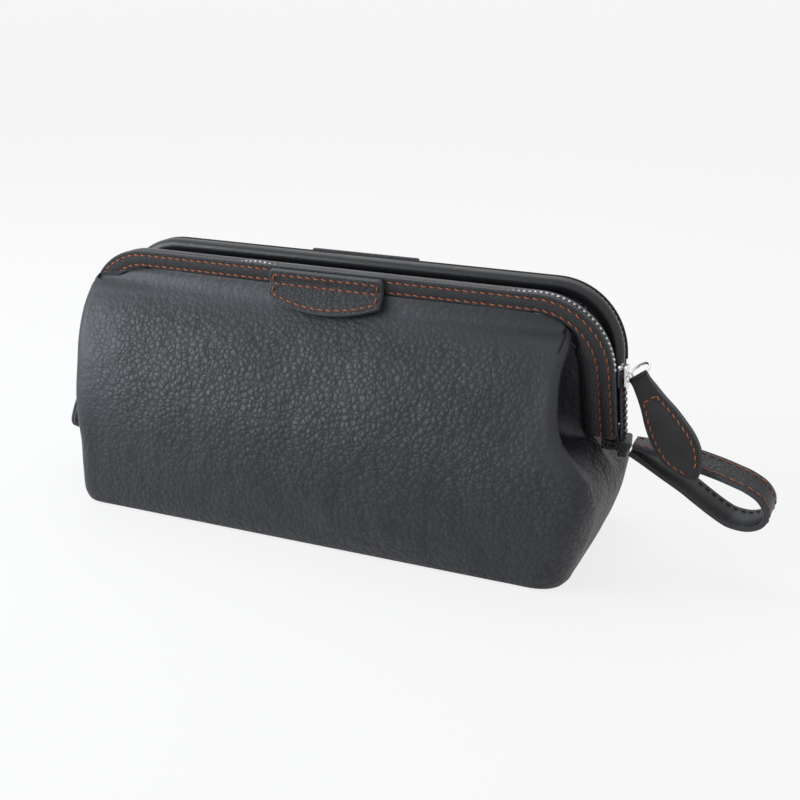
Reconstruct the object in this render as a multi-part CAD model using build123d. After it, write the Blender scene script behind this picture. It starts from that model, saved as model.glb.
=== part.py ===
from build123d import *
import math
import os

# A framed toiletry bag in grained leather, standing on its base, with its long side along X.
# The front faces -Y, the origin is the centre of the base on the surface it stands on. Sizes are millimetres.

# Body
base_length = 250.0  # flat base, along X
base_width = 94.0  # flat base, along Y
base_corner = 14.0
leather = 1.8  # thickness of the outer leather
lining = 0.7  # thickness of the lining cloth
board = 1.6  # thickness of the stiffener in the base
seam_gap = 0.3  # room between soft layers that lie on each other
wall_inset = 0.6  # how far the walls stand inside the edge of the base, at the bottom
front_bulge = 7.0  # how far a wall's face swells out below the hinge
ear_bulge = 8.0  # how far its upright edges swell out
end_bulge = 11.0  # how far the middle of an end swells out
ear_tuck = 11.0  # how deep the ends fold in beside the frame's legs
ear_round = 7.0  # radius of a wall's upright edges
least_fold_depth = 3.4  # where a wall stands less than this in front of the rim, its end has no fold
wall_crown = 3.0  # how far the middle of a wall stands out past its ends

# Frame: two bows that turn about one axis along X
hinge_height = 61.0
hinge_out = 8.4  # how far a hinge stands past the end of the base
bow_height = 64.5  # from the hinge axis to the tube along the top
bow_splay = 5.0  # how far each leg leans in towards the top
bow_corner = 31.0
bow_offset = 4.1  # from the hinge axis to the plane of a bow
tube_radius = 2.0
sleeve_wall = 1.6
sleeve_slack = 0.1
front_lean = 7.0  # degrees from upright, at rest
rear_lean = 11.0

# Rim: the leather band and half of the zip, on the outside of a bow
band_above = 4.6  # from the tube's centre line to the band's edge
band_below = 9.0
tape_thickness = 0.55
tape_above = 4.2
tape_below = 7.0
tooth_pitch = 3.0
tooth_along = 1.5
tooth_deep = 1.5
tooth_high = 2.0
tooth_edge = 5.3  # from the tube's centre line to a tooth's tip
tooth_bead = 0.8  # height of the cord that the teeth are clamped on
zip_end_height = 33.0  # above the hinge: below this the two halves of the zip are closed

# Hinge
rivet_radius = 1.5
rivet_play = 0.06
rivet_head_radius = 2.9
rivet_head = 0.9
eye_radius = 3.4
eye_thickness = 1.3
eye_play = 0.15
cover_radius = 5.2  # leather cheeks on both sides of a hinge
cover_thickness = 1.5
cover_play = 0.05

# Opening tabs on the rim
tab_width = 58.0
tab_side = 16.0
tab_sagitta = 6.5
tab_thickness = 2.8
tab_flat = 9.6  # the part that is sewn down
tab_flare = 42.0  # degrees that the free part stands off

# Closed end of the zip, slider and puller
tail_width = 11.0
tail_face = 4.65  # from the tube's centre line out to the tape
chain_width = 5.0
chain_thickness = 1.2
slider_length = 11.0
slider_width = 8.0
slider_plate = 0.8
slider_gap = 2.0
slider_post = 2.2
slider_rest = 23.0  # slider's lower end above the hinge, at rest
bail_radius = 2.2
bail_wire = 0.5
ring_radius = 5.2
ring_wire = 0.6
pull_length = 50.0
pull_width = 19.0
pull_neck = 8.6
pull_thickness = 3.4
pull_fold = 0.4  # how much thicker the fold around the ring is, on each side
pull_play = 0.65  # room for the ring in the fold, which lets the pull swing

# Wrist strap and end tab
strap_width = 12.0
strap_layer = 1.3
strap_length = 56.0  # from the fixed end to the middle of the bend
strap_bend = 14.5  # radius of the bend
strap_droop = 20.0  # degrees below level
anchor_length = 4.0  # leather block that the strap or the tab is sewn to
anchor_height = 7.2
strap_gap = 1.75  # leaves room for the strap's end to turn
end_tab_width = 16.0
end_tab_layer = 1.5
end_tab_length = 43.0
end_tab_droop = 48.0
end_tab_gap = 1.6

# Shape of the walls below the hinge: share of that height, then the share of the bulge of face, edge and end
LOW_LEVELS = [
    (0.0, 0.0, 0.0, 0.0),
    (0.08, 0.35, 0.2, 0.3),
    (0.28, 0.85, 0.55, 0.8),
    (0.55, 1.0, 0.85, 1.0),
    (0.78, 0.9, 1.0, 0.8),
    (0.93, 0.75, 1.0, 0.35),
]

# Shape above the hinge: share of that height, how far the face has come in, edge's bulge, depth of the fold
HIGH_LEVELS = [
    (0.0, 0.0, 1.0, 0.2),
    (0.2, 0.13, 0.9, 0.6),
    (0.38, 0.27, 0.65, 1.0),
    (0.58, 0.47, 0.3, 1.0),
    (0.76, 0.68, 0.0, 1.0),
    (0.9, 0.86, -0.2, 1.0),
    (0.96, 0.94, -0.2, 1.0),
    (1.0, 1.0, -0.2, 1.0),
]

hinge_half_span = base_length / 2 + hinge_out  # from the middle of the bag to a hinge
sleeve_radius = tube_radius + sleeve_slack + sleeve_wall
tape_face = bow_offset + sleeve_radius + 0.05  # the zip tape lies against the sleeve
band_face = tape_face + tape_thickness + 0.05  # the band lies against the zip tape
rivet_half = eye_thickness + eye_play  # from the middle of a hinge to a rivet's head
cover_inner = rivet_half + rivet_head + cover_play
cover_outer = cover_inner + cover_thickness
hinge_axis = Axis((0, 0, hinge_height), (1, 0, 0))
splay_angle = math.atan2(bow_splay, bow_height)
wall_foot = leather
wall_top = bow_height - band_below - seam_gap  # above the hinge, in the plane of the bow
anchor_foot = hinge_height - seam_gap - anchor_height


def leg_x(reach, height):
    """Distance from the middle of the bag to a line along a leg, `reach` outside the tube's centre line."""
    return hinge_half_span + reach / math.cos(splay_angle) - height * math.tan(splay_angle)


def rim_line(reach, foot):
    """Open line around a bow, `reach` outside the tube's centre line, from `foot` above each hinge."""
    top = bow_height + reach
    low, high = leg_x(reach, foot), leg_x(reach, top)
    points = [(-low, foot), (-high, top), (high, top), (low, foot)]
    return FilletPolyline(*points, radius=bow_corner + reach)


def rim_face(inner, outer, foot):
    """Flat U between two rim lines, in the plane of the bow."""
    a, b = rim_line(outer, foot), rim_line(inner, foot)
    ends = [Line(a @ 0, b @ 0), Line(a @ 1, b @ 1)]
    return make_face(Curve() + [a, b, *ends])


def above(height):
    """Flat region that holds all of a bow above one height over the hinge."""
    width, top = 4 * hinge_half_span, 4 * bow_height
    return Pos(0, height + top / 2) * Rectangle(width, top)


def upright(face, distance, thickness):
    """A face of the bow's plane, made solid on the front side, `distance` in front of the hinge axis."""
    plane = Plane.XZ.offset(distance) * Pos(0, hinge_height, 0)
    return extrude(plane * face, thickness)


def on_side(shape, side):
    """Puts a piece that was made upright on the front (-1) or rear (1) bow, leaned to rest."""
    if side > 0:
        return mirror(shape, about=Plane.XZ).rotate(hinge_axis, -rear_lean)
    return shape.rotate(hinge_axis, front_lean)


def tooth_strip():
    """One half of the zip: teeth on a cord along the rim, down to the closed end."""
    line = rim_line(tooth_edge - tooth_high / 2, 1.0)
    count = int(line.length // tooth_pitch)
    start = (line.length - (count - 1) * tooth_pitch) / 2
    teeth = []
    for n in range(count):
        share = (start + n * tooth_pitch) / line.length
        at, along = line @ share, line % share
        if at.Y < zip_end_height + tooth_pitch / 2:
            continue
        turn = math.degrees(math.atan2(along.Y, along.X))
        teeth.append(Pos(at.X, at.Y) * Rot(0, 0, turn) * Rectangle(tooth_along, tooth_high))
    foot = tooth_edge - tooth_high
    bead = rim_face(foot, foot + tooth_bead, 1.0) & above(zip_end_height)
    comb = Sketch() + [bead, *teeth]
    return upright(comb, tape_face - tooth_deep - 0.05, tooth_deep)


def bow():
    """Steel tube bent to a U, with a flat eye at each end for the hinge rivet."""
    path = Plane.XZ.offset(bow_offset) * Pos(0, hinge_height, 0) * rim_line(0, eye_radius)
    start = Plane(origin=path @ 0, z_dir=path % 0)
    return sweep(start * Circle(tube_radius), path=path)


def bow_eye(outer):
    """Flat ring at a leg's foot, on the right, with an arm to the tube: the outer or inner one of a pair."""
    near = eye_play / 2 if outer else -eye_play / 2 - eye_thickness
    plane = Plane(origin=(hinge_half_span + near, 0, hinge_height), x_dir=(0, 1, 0), z_dir=(1, 0, 0))
    ring = Circle(eye_radius)
    arm = Polyline(
        (-bow_offset + tube_radius, 0),
        (-bow_offset + tube_radius, eye_radius + 1.5),
        (-bow_offset - tube_radius, eye_radius + 1.5),
        (-bow_offset - tube_radius, eye_radius - 0.4),
        (-eye_radius, 0),
        close=True,
    )
    blank = ring + make_face(arm) - Circle(rivet_radius + rivet_play)
    return extrude(plane * blank, eye_thickness)


def bow_with_eyes(outer):
    """A bow, its right eye and its left eye, as one bent and flattened tube."""
    eye = bow_eye(outer)
    return bow() + eye + mirror(eye, about=Plane.YZ)


def sleeve():
    """Leather channel sewn round the tube."""
    path = Plane.XZ.offset(bow_offset) * Pos(0, hinge_height, 0) * rim_line(0, eye_radius + 2.0)
    start = Plane(origin=path @ 0, z_dir=path % 0)
    ring = Circle(sleeve_radius) - Circle(tube_radius + sleeve_slack)
    return sweep(start * ring, path=path)


def rivet(side):
    """Hinge rivet with two heads, which holds the four eyes of one end together in pairs."""
    plane = Plane(origin=(side * hinge_half_span, 0, hinge_height), z_dir=(1, 0, 0))
    shank = Cylinder(rivet_radius, 2 * rivet_half + 2 * rivet_head)
    head = Cylinder(rivet_head_radius, rivet_head)
    heads = [Pos(0, 0, end * (rivet_half + rivet_head / 2)) * head for end in (-1, 1)]
    return plane * (shank + heads[0] + heads[1])


def hinge_cover(side):
    """Leather cheeks that hold the rivet's two heads, joined below the hinge, on the bag's end."""
    low = eye_radius + seam_gap
    plane = Plane(origin=(hinge_half_span, 0, hinge_height), x_dir=(0, 1, 0), z_dir=(1, 0, 0))
    foot = low + cover_thickness
    cheek = Circle(cover_radius) + Pos(0, -foot / 2) * Rectangle(2 * cover_radius, foot)
    cheek = cheek & Pos(0, -foot / 2 + cover_radius / 2) * Rectangle(2 * cover_radius, foot + cover_radius)
    solid = plane * Pos(0, 0, -cover_outer) * extrude(cheek, 2 * cover_outer)
    room = Pos(0, 0, (cover_radius - low) / 2) * Box(2 * cover_inner, 3 * cover_radius, cover_radius + low)
    cover = solid - Pos(hinge_half_span, 0, hinge_height) * room
    return mirror(cover, about=Plane.YZ) if side < 0 else cover


def opening_tab():
    """Doubled leather sewn on the rim band, with its free part standing off and a curved lower edge."""
    half = tab_width / 2
    top = bow_height + band_above
    low = top - tab_side
    edge = ThreePointArc((-half, low), (0, low - tab_sagitta), (half, low))
    rest = Polyline((half, low), (half, top), (-half, top), (-half, low))
    outline = upright(make_face(Curve() + [edge, rest]), 0, bow_offset + 30)
    flare = math.radians(tab_flare)
    foot = band_face + leather + 0.05
    drop = tab_side + tab_sagitta - tab_flat + 1
    knee = hinge_height + top - tab_flat
    run, fall = drop * math.sin(flare), drop * math.cos(flare)
    across = (tab_thickness * math.cos(flare), tab_thickness * math.sin(flare))
    profile = Polyline(
        (-foot, knee + tab_flat),
        (-foot, knee),
        (-foot - run, knee - fall),
        (-foot - run - across[0], knee - fall + across[1]),
        (-foot - tab_thickness, knee + tab_thickness * math.tan(flare / 2)),
        (-foot - tab_thickness, knee + tab_flat),
        close=True,
    )
    slab = extrude(Plane.YZ * make_face(profile), tab_width, both=True)
    return slab & outline


def low_line(level, inset):
    """Plan of a wall's right half at one level below the hinge: it runs on to the seam in the bag's end."""
    share, face_share, ear_share, end_share = level
    edge = wall_inset + leather / 2 + inset
    face = base_width / 2 - edge + front_bulge * face_share
    ear = base_length / 2 - edge + ear_bulge * ear_share
    end = base_length / 2 - edge + end_bulge * end_share
    points, back = rounded_face(face, ear, wall_crown, ear_round)
    for s in (0.35, 0.7, 1.0):
        points.append((ear + (end - ear) * s, back * (1 - s) - seam_gap / 2 * s))
    return points, wall_foot + (hinge_height - wall_foot) * share


def high_line(level, inset, bow_lean):
    """Plan of the right half of a wall at one level above the hinge.

    The end folds in beside the frame's leg and comes out again to the band. The lining leaves the fold out.
    """
    share, inward, ear_share, tuck_share = level
    up = 1.0 + (wall_top - 1.0) * share
    lean = math.radians(bow_lean)
    rim = band_face + leather / 2
    rim_y = rim * math.cos(lean) + up * math.sin(lean)
    low_face = base_width / 2 - wall_inset - leather / 2 + front_bulge * LOW_LEVELS[-1][1]
    top_face = rim * math.cos(lean) + wall_top * math.sin(lean) + leather / 2
    face = low_face + (top_face - low_face) * inward
    depth = face - rim_y
    corner = bow_height - bow_corner
    reach = bow_corner - band_below - seam_gap - leather / 2
    leg = leg_x(-band_below - seam_gap - leather / 2, min(up, corner))
    past = max(0.0, up - corner)
    end = leg - reach + math.sqrt(max(1.0, reach**2 - past**2)) - seam_gap
    ear = base_length / 2 - wall_inset - leather / 2 + ear_bulge * ear_share
    folded = depth > least_fold_depth
    ear = min(ear, end + 2.2 * (depth - least_fold_depth)) if folded else end - 4.0
    fold = min(ear - ear_tuck * tuck_share, end - 0.5) if folded else ear + 2.0
    if inset:
        ear = min(ear, fold) - inset
        end = ear + 0.4
    crown = wall_crown * min(1.0, depth / 20)
    points, back = rounded_face(face - inset, ear, crown, min(ear_round, 0.35 * depth))
    gap = inset - rim_y - back
    if inset:
        points += [(ear + 0.1, back + gap * 0.35), (ear + 0.2, back + gap * 0.7), (end, inset - rim_y)]
    elif folded:
        points += [(fold + (ear - fold) * 0.15, back + gap * 0.35), (fold, back + gap * 0.75), (end, -rim_y)]
    else:
        points += [(ear + 1.3, back + gap * 0.35), (ear + 2.6, back + gap * 0.7), (end, -rim_y)]
    return points, hinge_height + up * math.cos(lean) - (rim + leather / 2) * math.sin(lean)


def rounded_face(face, ear, crown, r):
    """Points from the middle of a wall round its upright edge, and how far back they come."""
    start = ear - max(r, 4.0)
    points = [(start * s, crown * drop - face) for s, drop in [(0, 0), (0.4, 0.12), (0.75, 0.45)]]
    turns = (0.0, 0.55, 1.05, math.pi / 2)
    points += [(start + (ear - start) * math.sin(t), crown - face + r * (1 - math.cos(t))) for t in turns]
    return points, crown - face + r


def thick_section(points, thickness, height):
    """Closed outline of a sheet of even thickness whose middle runs through the points, at one height."""
    middle = [(-x, y) for x, y in reversed(points[1:])] + points
    sides = ([], [])
    for n, (x, y) in enumerate(middle):
        before = middle[max(0, n - 1)]
        after = middle[min(len(middle) - 1, n + 1)]
        a = math.atan2(y - before[1], x - before[0]) if n else None
        b = math.atan2(after[1] - y, after[0] - x) if n < len(middle) - 1 else None
        a, b = b if a is None else a, a if b is None else b
        turn = (b - a + math.pi) % (2 * math.pi) - math.pi
        half = thickness / 2 / max(0.5, math.cos(turn / 2))
        normal = a + turn / 2 + math.pi / 2
        for sign, side in zip((1, -1), sides):
            side.append((x + sign * half * math.cos(normal), y + sign * half * math.sin(normal), height))
    return Wire.make_polygon(sides[0] + sides[1][::-1], close=True)


def wall(side, inner=False):
    """A long wall with its half of each end, or its lining: one sheet, folded in beside the frame."""
    thickness, inset = (lining, leather + seam_gap) if inner else (leather, 0.0)
    bow_lean = front_lean if side < 0 else rear_lean
    lines = [low_line(level, inset) for level in LOW_LEVELS]
    lines += [high_line(level, inset, bow_lean) for level in HIGH_LEVELS]
    if inner:
        lines[0] = (lines[0][0], wall_foot + board + 2 * seam_gap)
    sections = [thick_section(points, thickness, height) for points, height in lines]
    sheet = Solid.make_loft(sections, ruled=True)
    return mirror(sheet, about=Plane.XZ) if side > 0 else sheet


def base_sheet(inset, bottom, thickness):
    """Rounded sheet that lies in the base."""
    outline = RectangleRounded(base_length - 2 * inset, base_width - 2 * inset, base_corner - min(inset, 8))
    return Pos(0, 0, bottom) * extrude(outline, thickness)


def tail_plane():
    """Plane of the closed end of the zip: local X is across it, local Y is up along the leg, Z is outwards."""
    outwards = (math.cos(splay_angle), 0, math.sin(splay_angle))
    return Plane(origin=(hinge_half_span + tail_face, 0, hinge_height), x_dir=(0, 1, 0), z_dir=outwards)


def zip_tail(side):
    """Closed end of the zip's tape, which runs up from the hinge between the two halves."""
    height = slider_rest + slider_length - slider_post - 2 * seam_gap
    tape = tail_plane() * Pos(0, height / 2, tape_thickness / 2) * Box(tail_width, height, tape_thickness)
    return mirror(tape, about=Plane.YZ) if side < 0 else tape


def zip_chain():
    """Meshed teeth of the closed end, below the slider's post."""
    lift = tape_thickness + 0.02 + chain_thickness / 2
    count = int((slider_rest + slider_length * 0.4) // tooth_pitch)
    teeth = []
    for n in range(count):
        for sign in (-1, 1):
            place = Pos(sign * chain_width / 4, (n + 0.5 + 0.25 * sign) * tooth_pitch, lift)
            tooth = Box(chain_width / 2 - 0.1, tooth_along * 0.9, chain_thickness)
            teeth.append(tail_plane() * place * tooth)
    return Compound(children=teeth)


def slider_plane():
    """Middle of the slider, half way between its plates."""
    lift = slider_gap / 2 - seam_gap / 3
    return tail_plane() * Pos(0, slider_rest + slider_length / 2, lift)


def slider():
    """Zip slider: two plates joined by a post at the wide end, and a bail for the ring."""
    plate = extrude(RectangleRounded(slider_width, slider_length, 2.4), slider_plate)
    outer = Pos(0, 0, slider_gap / 2) * plate
    inner = Pos(0, 0, -slider_gap / 2 - slider_plate) * plate
    post_place = Pos(0, (slider_length - slider_post) / 2 - 0.2, 0)
    post = post_place * Box(1.8, slider_post, slider_gap + slider_plate)
    side = Plane(origin=(0, 0, 0), x_dir=(0, 1, 0), z_dir=(1, 0, 0))
    arc = Pos(0, 0, slider_gap / 2 + slider_plate) * (side * CenterArc((0, 0), bail_radius, -10, 200))
    bail = sweep(Plane(origin=arc @ 0, z_dir=arc % 0) * Circle(bail_wire), path=arc)
    return slider_plane() * (outer + inner + post + bail)


def bail_centre():
    """Middle of the bail's opening, where the ring passes through."""
    lift = slider_gap / 2 + slider_plate + ring_wire + 0.25
    return (slider_plane() * Pos(0, 0, lift)).position


def pull_directions():
    """Unit vectors: along the neck of the pull, from the ring's middle to the neck, and down the pull."""
    down = Vector(0.60, -0.17, -0.78).normalized()
    neck = Vector(0.79, 0, 0.61)
    neck = (neck - down * neck.dot(down)).normalized()
    forward = Vector(0.1, -0.95, -0.3)
    forward = (forward - neck * forward.dot(neck)).normalized()
    return neck, forward, down


def pull_planes():
    """Plane of the ring, and plane of the pull with its origin where the ring passes through it."""
    neck, forward, down = pull_directions()
    middle = bail_centre() + neck * ring_radius
    ring = Plane(origin=middle, x_dir=neck, z_dir=neck.cross(forward))
    pull = Plane(origin=middle + forward * ring_radius, x_dir=neck, z_dir=down.cross(neck))
    return ring, pull


def pull_ring():
    """Wire ring that links the slider to the pull."""
    return pull_planes()[0] * Torus(ring_radius, ring_wire)


def leaf_outline():
    """Leaf shape of the pull, from the fold around the ring down to the point."""
    half, neck, tip = pull_width / 2, pull_neck / 2, 0.8
    widest = -pull_length * 0.62
    edges = []
    for side in (1, -1):
        points = [(neck, 0), (neck + 1.2, widest * 0.35), (half, widest), (tip, -pull_length)]
        ends = [(side * 0.05, -1), (side * -0.8, -0.9)]
        edges.append(Spline([(side * x, y) for x, y in points], tangents=ends))
    right, left = edges
    return make_face(Curve() + [right, left, Line(left @ 0, right @ 0), Line(left @ 1, right @ 1)])


def pull_leaf():
    """Two layers of leather, folded around the ring at the top and sewn together."""
    ring, pull = pull_planes()
    body = pull * extrude(leaf_outline(), pull_thickness / 2, both=True)
    fold = pull * Rot(0, 90, 0) * Cylinder(pull_thickness / 2 + pull_fold, pull_neck)
    groove = ring * Torus(ring_radius, ring_wire + pull_play)
    neck, forward, down = pull_directions()
    notch_plane = Plane(origin=ring.origin, x_dir=neck, z_dir=ring.z_dir)
    notch = notch_plane * Cylinder(ring_radius - 1.6, 4 * ring_wire)
    return body + fold - groove - notch


def strap_curve(offset):
    """Loop of the strap in its own plane: both ends beside the origin, the bend at the far end."""
    wide = strap_bend + offset
    near = 1.6 + offset
    far = strap_length
    top = Spline(
        (0, near),
        (far * 0.4, strap_bend * 0.78 + offset),
        (far, wide),
        tangents=[(1, 0.35), (1, 0)],
    )
    bend = CenterArc((far, 0), wide, 90, -180)
    low = Spline(
        (far, -wide),
        (far * 0.8, -strap_bend * 0.82 - offset),
        (far * 0.5, -strap_bend * 0.42 - offset),
        (0, -near),
        tangents=[(-1, 0.1), (-1, 0.05)],
    )
    return [top, bend, low]


def strap_plane():
    """Plane of the loop: local X is outwards and down along the strap, Y is up and Z is across the strap."""
    x = hinge_half_span + cover_outer + 2 * cover_play + anchor_length + strap_gap
    droop = math.radians(strap_droop)
    out = Vector(math.cos(droop), 0, -math.sin(droop))
    return Plane(origin=(x, 0, anchor_foot + anchor_height / 2), x_dir=out, z_dir=(0, -1, 0))


def strap_sheet(inner, outer):
    """One layer of the strap, between two offsets of its middle line."""
    a, b = strap_curve(outer), strap_curve(inner)
    ends = [Line(a[0] @ 0, b[0] @ 0), Line(a[-1] @ 1, b[-1] @ 1)]
    face = make_face(Curve() + [*a, *b, *ends])
    return strap_plane() * extrude(face, strap_width / 2, both=True)


def anchor(side):
    """Block of folded leather on the hinge cover, which the strap or the tab is sewn to."""
    middle = hinge_half_span + cover_outer + cover_play + anchor_length / 2
    block = Pos(middle, 0, anchor_foot + anchor_height / 2) * Box(anchor_length, strap_width, anchor_height)
    block = fillet(block.edges().filter_by(Axis.Y).group_by(Axis.X)[-1], 1.2)
    return mirror(block, about=Plane.YZ) if side < 0 else block


def end_tab(layer):
    """One of two layers of the tongue that hangs from the left end of the zip, opposite the wrist strap."""
    droop = math.radians(end_tab_droop)
    x = -hinge_half_span - cover_outer - 2 * cover_play - anchor_length - end_tab_gap
    along = Vector(-math.cos(droop), 0, -math.sin(droop))
    origin = (x, 0, anchor_foot + anchor_height / 2)
    plane = Plane(origin=origin, x_dir=along, z_dir=along.cross(Vector(0, 1, 0)))
    outline = Pos(end_tab_length / 2, 0) * SlotOverall(end_tab_length, end_tab_width)
    outline = outline + Pos(end_tab_width / 4, 0) * Rectangle(end_tab_width / 2, end_tab_width)
    return plane * Pos(0, 0, layer * end_tab_layer) * extrude(outline, end_tab_layer - 0.02)


def build():
    parts = {
        "base_panel": base_sheet(0, 0, leather),
        "base_board": base_sheet(6.0, leather + seam_gap, board),
        "base_lining": base_sheet(7.5, leather + 2 * seam_gap + board, lining),
        "front_panel": wall(-1),
        "rear_panel": wall(1),
        "front_lining": wall(-1, inner=True),
        "rear_lining": wall(1, inner=True),
        "zip_tail_teeth": zip_chain(),
        "slider": slider(),
        "pull_ring": pull_ring(),
        "pull_leaf": pull_leaf(),
        "strap_outer": strap_sheet(0, strap_layer),
        "strap_lining": strap_sheet(-strap_layer, -0.02),
        "left_tab_outer": end_tab(0),
        "left_tab_inner": end_tab(-1),
    }
    for name, side in (("right", 1), ("left", -1)):
        parts[f"{name}_hinge_rivet"] = rivet(side)
        parts[f"{name}_hinge_cover"] = hinge_cover(side)
        parts[f"{name}_zip_tail_tape"] = zip_tail(side)
        parts[f"{name}_anchor"] = anchor(side)
    for name, side in (("front", -1), ("rear", 1)):
        tape = rim_face(-tape_below, tape_above, 1.0) & above(zip_end_height)
        band = rim_face(-band_below, band_above, 1.0)
        parts[f"{name}_bow"] = on_side(bow_with_eyes(side < 0), side)
        parts[f"{name}_bow_sleeve"] = on_side(sleeve(), side)
        parts[f"{name}_zip_tape"] = on_side(upright(tape, tape_face, tape_thickness), side)
        parts[f"{name}_rim_band"] = on_side(upright(band, band_face, leather), side)
        parts[f"{name}_zip_teeth"] = on_side(tooth_strip(), side)
        parts[f"{name}_tab"] = on_side(opening_tab(), side)
    return parts


os.makedirs("parts", exist_ok=True)
for node, shape in build().items():
    export_step(shape, f"parts/{node}.step")
    print(node, round(shape.volume, 1), len(shape.solids()))
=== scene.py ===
import math

import bmesh
import bpy
from mathutils import Matrix, Vector, noise


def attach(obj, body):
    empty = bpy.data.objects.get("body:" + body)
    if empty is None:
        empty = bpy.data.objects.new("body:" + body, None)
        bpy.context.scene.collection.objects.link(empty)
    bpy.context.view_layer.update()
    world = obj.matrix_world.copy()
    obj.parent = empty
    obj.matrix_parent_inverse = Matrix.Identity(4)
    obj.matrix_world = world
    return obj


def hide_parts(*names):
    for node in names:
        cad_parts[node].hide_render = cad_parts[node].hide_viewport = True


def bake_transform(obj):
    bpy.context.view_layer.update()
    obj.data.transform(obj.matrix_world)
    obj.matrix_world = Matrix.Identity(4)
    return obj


# Looks of a framed toiletry bag in grained leather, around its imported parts.
# Sizes in the making of the pieces are millimetres, and put() turns them into metres.

# Frame and rim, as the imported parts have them
BASE_LENGTH = 250.0
BASE_WIDTH = 94.0
BASE_CORNER = 14.0
LEATHER = 1.8
HINGE_HEIGHT = 61.0
HINGE_HALF_SPAN = 133.4
BOW_HEIGHT = 64.5
BOW_CORNER = 31.0
SPLAY = math.atan2(5.0, BOW_HEIGHT)
CORNER_HEIGHT = BOW_HEIGHT - BOW_CORNER
CORNER_CENTRE = HINGE_HALF_SPAN - BOW_CORNER / math.cos(SPLAY) - CORNER_HEIGHT * math.tan(SPLAY)
FRONT_LEAN = 7.0
REAR_LEAN = 11.0
TAPE_FACE = 7.85
BAND_FACE = 8.45
BAND_FOOT = 3.6
BAND_ABOVE = {-1: 4.6, 1: 3.3}  # from the tube's centre line to the edge of the band: front, rear
ZIP_END_HEIGHT = 33.0
COVER_OUTER = 3.9
ANCHOR_FOOT = 53.5
ANCHOR_HEIGHT = 7.2
ANCHOR_LENGTH = 4.0

# Slider, ring, pull and strap
TAIL_FACE = 4.65
SLIDER_REST = 23.0
SLIDER_LENGTH = 11.0
SLIDER_PLATE = 0.8
SLIDER_GAP = 2.0
RING_RADIUS = 5.2
RING_WIRE = 0.6
RING_ROOM = 0.25
STRAP_GAP = 1.75
END_TAB_GAP = 1.6
STRAP_TILT = 26.0  # degrees
LEAF_BOW = 2.6  # how far the pull bends away from the strap, which leaves it room to swing

# Sewing and zip
STITCH_PITCH = 4.0
STITCH_LENGTH = 3.1
STITCH_RADIUS = 0.36
STITCH_ROWS = (2.3, -2.7)  # how far outside the tube's centre line the two rows on the rim run
STITCH_LIFT = 1.72  # height of the stitches over the band's back
STITCH_SHAPE = (  # half a length along the seam, thickness, height: from one buried end to the other
    (-1.0, 0.35, -0.9),
    (-0.82, 0.85, 0.1),
    (-0.3, 1.0, 0.75),
    (0.3, 1.0, 0.75),
    (0.82, 0.85, 0.1),
    (1.0, 0.35, -0.9),
)
TAB_GAP = (-29.5, 29.5)  # stretch of the rim where the opening tab covers the stitches
TAB_LENGTH = 20.6
LEAF_LENGTH = 50.0
LEAF_WIDTHS = [  # distance below the fold, half width there
    (0.0, 4.3),
    (3.0, 4.4),
    (12.0, 6.0),
    (20.0, 8.1),
    (28.0, 9.3),
    (34.0, 9.5),
    (40.0, 8.4),
    (45.0, 5.9),
    (48.0, 3.5),
    (LEAF_LENGTH, 1.0),
]
TOOTH_PITCH = 2.5
TOOTH_TIP = {-1: 3.4, 1: 3.3}  # from the tube's centre line to the teeth's tips, where they stand lowest

# Walls
WALL_ROWS = 110
WALL_GAP = 0.15  # from the middle plane to the seam in the bag's end
LINING = 0.7

# Upper end of a wall: just under the edge of the band along the top, and far behind it on a leg
EDGE_TOP = -4.3
EDGE_LEG = -11.3
WALL_TOP = 120.2
WALL_EDGE_FACE = BAND_FACE + 1.0

# Face of a wall: height, distance in front of the middle of the bag, how far its ends fall back
FACE = [
    (0.3, 44.4, 0.0),
    (1.4, 46.2, 0.1),
    (3.4, 47.3, 0.5),
    (8.0, 48.9, 1.2),
    (20.0, 51.4, 2.6),
    (33.0, 52.8, 3.4),
    (46.0, 52.6, 3.6),
    (58.0, 51.0, 3.6),
    (66.0, 48.9, 3.4),
    (77.0, 45.0, 3.0),
    (87.0, 39.9, 2.4),
    (97.0, 33.2, 1.6),
    (103.0, 28.2, 1.0),
    (108.0, 23.8, 0.6),
    (112.0, 20.9, 0.3),
    (116.0, 19.2, 0.1),
    (WALL_TOP, 18.1, 0.0),
]

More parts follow.
